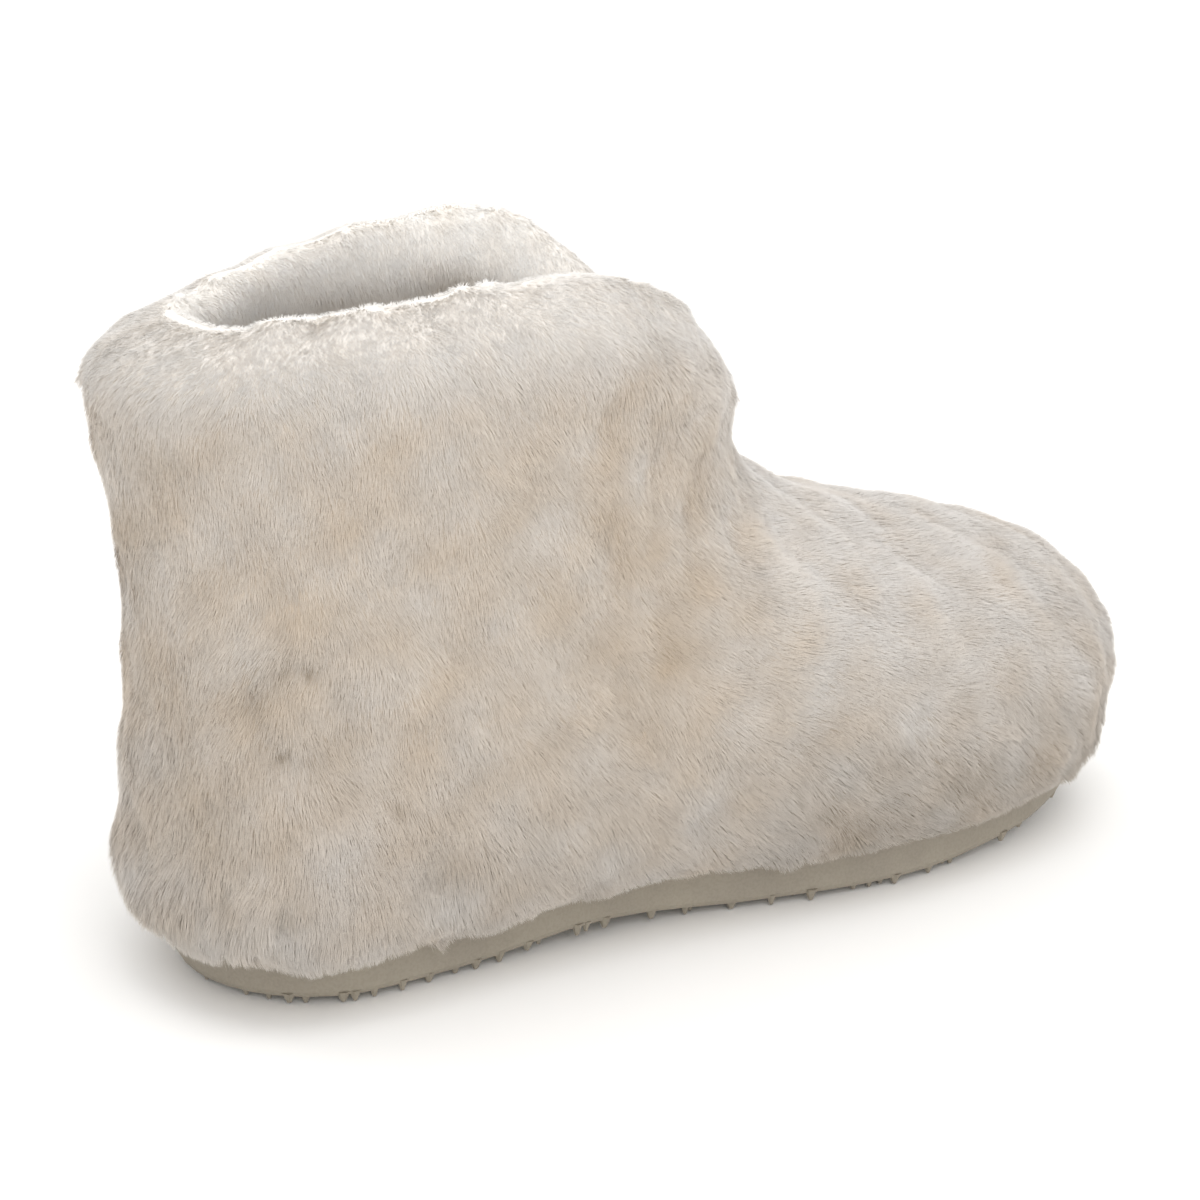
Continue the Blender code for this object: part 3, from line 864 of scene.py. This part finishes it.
class SLIPPER_OT_pile(bpy.types.Operator):
    """The pile: collar, shaft, heel, quarter, vamp and lining, each a mesh of fine blades"""

    bl_idname = "slipper.pile"
    bl_label = "Pile"

    def execute(self, context):
        sizes = context.scene.slipper_fur
        hide, coat = made["hide"], made["coat"]
        places, normals, corners = points_of(hide), normals_of(hide), triangles_of(hide)
        centres = places[corners].mean(axis=1)
        facing = unit(normals[corners].mean(axis=1))
        parts = coat.parts(centres, facing)
        chance = np.random.default_rng(PILE_SEED)
        everywhere = np.any(list(parts.values()), axis=0)
        hide_mesh = places, normals, corners
        roots, root_normals = scatter(chance, *hide_mesh, everywhere, GUIDE_DENSITY)
        guides = roots, self.strands(sizes, coat, chance, roots, root_normals)[1]
        lock_chance = np.random.default_rng(LOCK_SEED).random(len(roots))
        densities = {"collar": sizes.collar_density, "lining": sizes.lining_density}
        thinned, widened = ((1.0, 1.0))
        for part, chosen in parts.items():
            density = densities.get(part, sizes.coat_density) * thinned
            roots, root_normals = scatter(chance, *hide_mesh, chosen, density)
            lie, tip, inner = self.strands(sizes, coat, chance, roots, root_normals)
            low = 1 + LOW_CLUMPING * smooth_step(-roots[:, 2], *LOW_FROM)
            pull = sizes.clumping * low * chance.uniform(*VARY_PULL, len(roots))
            pull = pull * (1 + 0.35 * coat.cloud(roots))
            near, tip = gather(roots, tip, guides, np.clip(pull, 0.0, MOST_CLUMPING))
            light, tan = coat.light(roots, root_normals, inner)
            crest = coat.near_crest(roots, CALM_BAND)
            shade = STRAND_SHARE * chance.random(len(roots)) + LOCK_SHARE * lock_chance[near]
            shade = LOCK_CONTRAST * (shade - 0.5)
            vamp = smooth_step(roots[:, 0], *LIE_VAMP) * smooth_step(roots[:, 2], *CALM_VAMP_Z)
            calm = np.maximum(COLLAR_CALM * crest, LINING_CALM * inner)
            calm = np.maximum(calm, VAMP_CALM * vamp)
            # painted shade at each blade's roots, and a lighter tip
            along = np.array([[-ROOT_PAINTED_SHADE, -ROOT_PAINTED_SHADE, TIP_LIGHTER]])
            light = light[:, None] + (1 - calm)[:, None] * (shade[:, None] + along)
            thin = np.where(inner, 0.0, TIP_THIN * crest)
            piece = fibres(
                part + "_fur", chance, roots, root_normals, lie, tip, sizes.fibre_width * widened,
                {"light": light, "tan": tan, "thin": thin},
            )
            dress(piece, made["fleece" if part == "lining" else "pile"], "fur", "upper")
        return {"FINISHED"}

    def strands(self, sizes, coat, chance, places, normals):
        """Each strand's lie and tip, and whether it is deep inside."""
        inner = coat.outward(places, normals) < 0
        deep = inner & (coat.below_crest(places) > COLLAR_DEEP)
        combed = coat.near_crest(places, COMB_BAND)
        long = np.interp(places[:, 2], LONG_Z, LONG_HEEL)
        vamp_long = np.interp(places[:, 2], LONG_Z, LONG_VAMP)
        long = long + (vamp_long - long) * smooth_step(places[:, 0], *LIE_VAMP)
        reach = np.where(deep, sizes.lining_length, sizes.coat_length * long)
        standing = sizes.coat_lift * (1 - LONG_LIFT + LONG_LIFT * long)
        lift = np.where(deep, sizes.lining_lift, standing)
        reach = reach + (sizes.collar_length * COMBED_SHORT - reach) * combed
        lift = lift + (sizes.collar_lift - lift) * combed
        loose = LOOSE + LOOSE_COMBED * combed
        lie, tip = grow(chance, coat, places, normals, inner, reach, lift, loose)
        return lie, tip, deep


class SLIPPER_OT_footbed(bpy.types.Operator):
    """The padded fleece footbed and its short pile"""

    bl_idname = "slipper.footbed"
    bl_label = "Footbed"

    def execute(self, context):
        sizes, colours = context.scene.slipper_fur, context.scene.slipper_colours
        coat = made["coat"]
        pad = merged_copy("insole", "fleece_footbed")
        worked(pad, "REMESH", mode="VOXEL", voxel_size=PAD_GRID)
        worked(pad, "SMOOTH", factor=0.5, iterations=4)
        places, normals = points_of(pad), normals_of(pad)
        broad, fine, under = PAD_SWELL
        out = broad * coat.curl(places) + fine * coat.mottle(places) + under
        places = places + normals * out[:, None]
        put_points(pad, places)
        pick(pad)
        bpy.ops.object.shade_smooth()
        light = self.clouded(coat, places, PAD_LIGHT)
        # the cloth is 0.05 darker than its pile: painted shade under the pile
        put_attribute(pad.data, "light", light - 0.05)
        put_attribute(pad.data, "tan", light * 0 + PAD_TAN)
        dress(pad, pile_finish("fleece_cloth", colours, colours.fleece, False), "fleece", "insole")
        normals, corners = normals_of(pad), triangles_of(pad)
        centres, facing = places[corners].mean(axis=1), unit(normals[corners].mean(axis=1))
        chance = np.random.default_rng(PAD_SEED)
        chosen = (facing[:, 2] > PAD_FACING) & (centres[:, 0] < LINING_TO)
        roots, root_normals = scatter(chance, places, normals, corners, chosen, PAD_DENSITY)
        ahead = np.tile([1.0, 0.0, 0.0], (len(roots), 1))
        angle = PAD_SWIRL * coat.curl(roots) + PAD_LOOSE * chance.normal(size=len(roots))
        lie = unit(swept(ahead, np.cross(root_normals, ahead), angle))
        rise = PAD_LIFT * chance.uniform(0.6, 1.2, len(roots))
        tip = roots + lie * PAD_REACH + root_normals * rise[:, None]
        light = self.clouded(coat, roots, PAD_PILE_LIGHT)
        pile = fibres(
            "footbed_pile", chance, roots, root_normals, lie, tip, sizes.fibre_width * 1.2,
            {"light": light, "tan": light * 0 + PAD_TAN, "thin": light * 0 + TIP_THIN},
        )
        dress(pile, made["fleece"], "fleece", "insole")
        return {"FINISHED"}

    def clouded(self, coat, places, light):
        """An even light with soft clouds and mottling."""
        return np.clip(light + 0.05 * coat.cloud(places) + 0.04 * coat.mottle(places), 0, 1)


def sole_edge():
    """Outline of the sole seen from below, as closed points, and the sole's tree for casts."""
    sole = merged_copy("outsole", "sole_copy")
    mesh, places = sole.data, points_of(sole)
    tree = BVHTree.FromPolygons(places.tolist(), [list(face.vertices) for face in mesh.polygons])
    turn = np.arctan2(places[:, 1] * SOLE_ROUND, places[:, 0])
    far = np.hypot(places[:, 1] * SOLE_ROUND, places[:, 0])
    edge, step = [], 2 * math.pi / SOLE_BINS
    for low in np.linspace(-math.pi, math.pi, SOLE_BINS, endpoint=False):
        near = np.flatnonzero((turn >= low) & (turn < low + step))
        if len(near):
            edge.append(places[near[np.argmax(far[near])], :2])
    bpy.data.objects.remove(sole)
    bpy.data.meshes.remove(mesh)
    return np.array(edge), tree


class SLIPPER_OT_sole(bpy.types.Operator):
    """The finish of the studded sole, and the small worn studs along its edge"""

    bl_idname = "slipper.sole"
    bl_label = "Sole"

    def execute(self, context):
        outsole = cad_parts["outsole"]
        outsole.data.materials.clear()
        rubber = sole_finish("sole_rubber", context.scene.slipper_sole)
        outsole.data.materials.append(rubber)
        edge, tree = sole_edge()
        steps = np.roll(edge, -1, axis=0) - edge
        run = np.concatenate([[0.0], np.cumsum(np.linalg.norm(steps, axis=1))])
        closed = np.vstack([edge, edge[:1]])
        chance = np.random.default_rng(STUD_SEED)
        bm = bmesh.new()
        count = int(run[-1] / EDGE_STUD_PITCH)
        for number in range(count):
            at = (number + chance.uniform(*EDGE_STUD_SHIFT)) * run[-1] / count
            here, ahead = (
                np.array([np.interp(way % run[-1], run, closed[:, axis]) for axis in (0, 1)])
                for way in (at, at + MM)
            )
            along = unit((ahead - here)[None])[0]
            inwards = np.array([-along[1], along[0]])
            spot = here + inwards * EDGE_STUD_INSET * chance.uniform(*VARY_INSET)
            hit = tree.ray_cast(Vector((*spot, -0.05)), Vector((0, 0, 1)))[0]
            if hit is None:
                continue
            height = min(chance.uniform(*VARY_HEIGHT) * EDGE_STUD_HEIGHT, hit.z - STAND)
            if height < EDGE_STUD_HEIGHT / 4:
                continue
            size = chance.uniform(*VARY_STUD)
            tip, base = (radius * size for radius in EDGE_STUD_RADII)
            stud = bmesh.ops.create_cone(
                bm, cap_ends=True, segments=EDGE_STUD_SIDES, radius1=tip, radius2=base,
                depth=height + EDGE_STUD_SINK,
            )["verts"]
            turn = Matrix.Rotation(chance.uniform(0, 6), 3, "Z")
            bmesh.ops.rotate(bm, verts=stud, matrix=turn)
            middle = hit + Vector((0, 0, (EDGE_STUD_SINK - height) / 2))
            bmesh.ops.translate(bm, verts=stud, vec=middle)
        mesh = bpy.data.meshes.new("edge_studs")
        bm.to_mesh(mesh)
        bm.free()
        studs = bpy.data.objects.new("edge_studs", mesh)
        context.scene.collection.objects.link(studs)
        mesh.materials.append(rubber)
        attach(studs, "root")
        return {"FINISHED"}


class SLIPPER_OT_stage(bpy.types.Operator):
    """Pale floor, soft studio light and the camera"""

    bl_idname = "slipper.stage"
    bl_label = "Stage"

    def execute(self, context):
        setting = context.scene.slipper_studio
        deselect_all()
        bpy.ops.mesh.primitive_circle_add(
            vertices=64, radius=FLOOR_RADIUS, fill_type="NGON", location=(0, 0, -FLOOR_UNDER)
        )
        floor = context.object
        floor.name = "studio_floor"
        finish = Finish("floor_paper", Roughness=0.9, Specular_IOR_Level=0.1)
        finish.shader.inputs["Base Color"].default_value = (*setting.floor, 1.0)
        floor.data.materials.append(finish.material)
        world = bpy.data.worlds.new("studio")
        world.use_nodes = True
        sky = next(n for n in world.node_tree.nodes if n.type == "BACKGROUND")
        sky.inputs["Color"].default_value = (1.0, 1.0, 1.0, 1.0)
        sky.inputs["Strength"].default_value = setting.sky
        context.scene.world = world
        for name, place, power, size in LIGHTS:
            data = bpy.data.lights.new(name, "AREA")
            data.energy, data.size = setting.key * power, size
            lamp = bpy.data.objects.new(name, data)
            lamp.location = place
            aim = Vector(LIGHTS_LOOK_AT) - Vector(place)
            lamp.rotation_euler = aim.to_track_quat("-Z", "Y").to_euler()
            context.scene.collection.objects.link(lamp)
        context.scene.view_settings.view_transform = "Standard"
        context.scene.cycles.diffuse_bounces = 8
        lens = bpy.data.cameras.new("view")
        lens.lens, lens.sensor_width = setting.lens, SENSOR
        camera = bpy.data.objects.new("view", lens)
        right, up = Vector(CAMERA_RIGHT), Vector(CAMERA_UP)
        turn = Matrix((right, up, right.cross(up))).transposed().to_4x4()
        camera.matrix_world = Matrix.Translation(Vector(CAMERA_PLACE) * MM) @ turn
        context.scene.collection.objects.link(camera)
        context.scene.camera = camera
        return {"FINISHED"}


class SLIPPER_PT_panel(bpy.types.Panel):
    """Lists the pieces and their settings"""

    bl_label = "Fur slipper"
    bl_idname = "SLIPPER_PT_panel"
    bl_space_type = "VIEW_3D"
    bl_region_type = "UI"
    bl_category = "Fur slipper"

    def draw(self, context):
        for operator in OPERATORS:
            self.layout.operator(operator.bl_idname)
        for name, group in GROUPS.items():
            box = self.layout.box()
            for key in group.__annotations__:
                box.prop(getattr(context.scene, name), key)


GROUPS = {
    "slipper_fur": FurSizes,
    "slipper_colours": FurColours,
    "slipper_sole": SoleFinish,
    "slipper_studio": StudioSetting,
}
OPERATORS = (
    SLIPPER_OT_hide, SLIPPER_OT_pile, SLIPPER_OT_footbed, SLIPPER_OT_sole, SLIPPER_OT_stage
)
CLASSES = (*GROUPS.values(), *OPERATORS, SLIPPER_PT_panel)


def register():
    for kind in CLASSES:
        bpy.utils.register_class(kind)
    for name, group in GROUPS.items():
        setattr(bpy.types.Scene, name, bpy.props.PointerProperty(type=group))


def unregister():
    for name in GROUPS:
        delattr(bpy.types.Scene, name)
    for kind in reversed(CLASSES):
        bpy.utils.unregister_class(kind)


def main():
    register()
    bpy.ops.slipper.hide()
    bpy.ops.slipper.pile()
    bpy.ops.slipper.footbed()
    bpy.ops.slipper.sole()
    bpy.ops.slipper.stage()


if __name__ == "__main__":
    main()
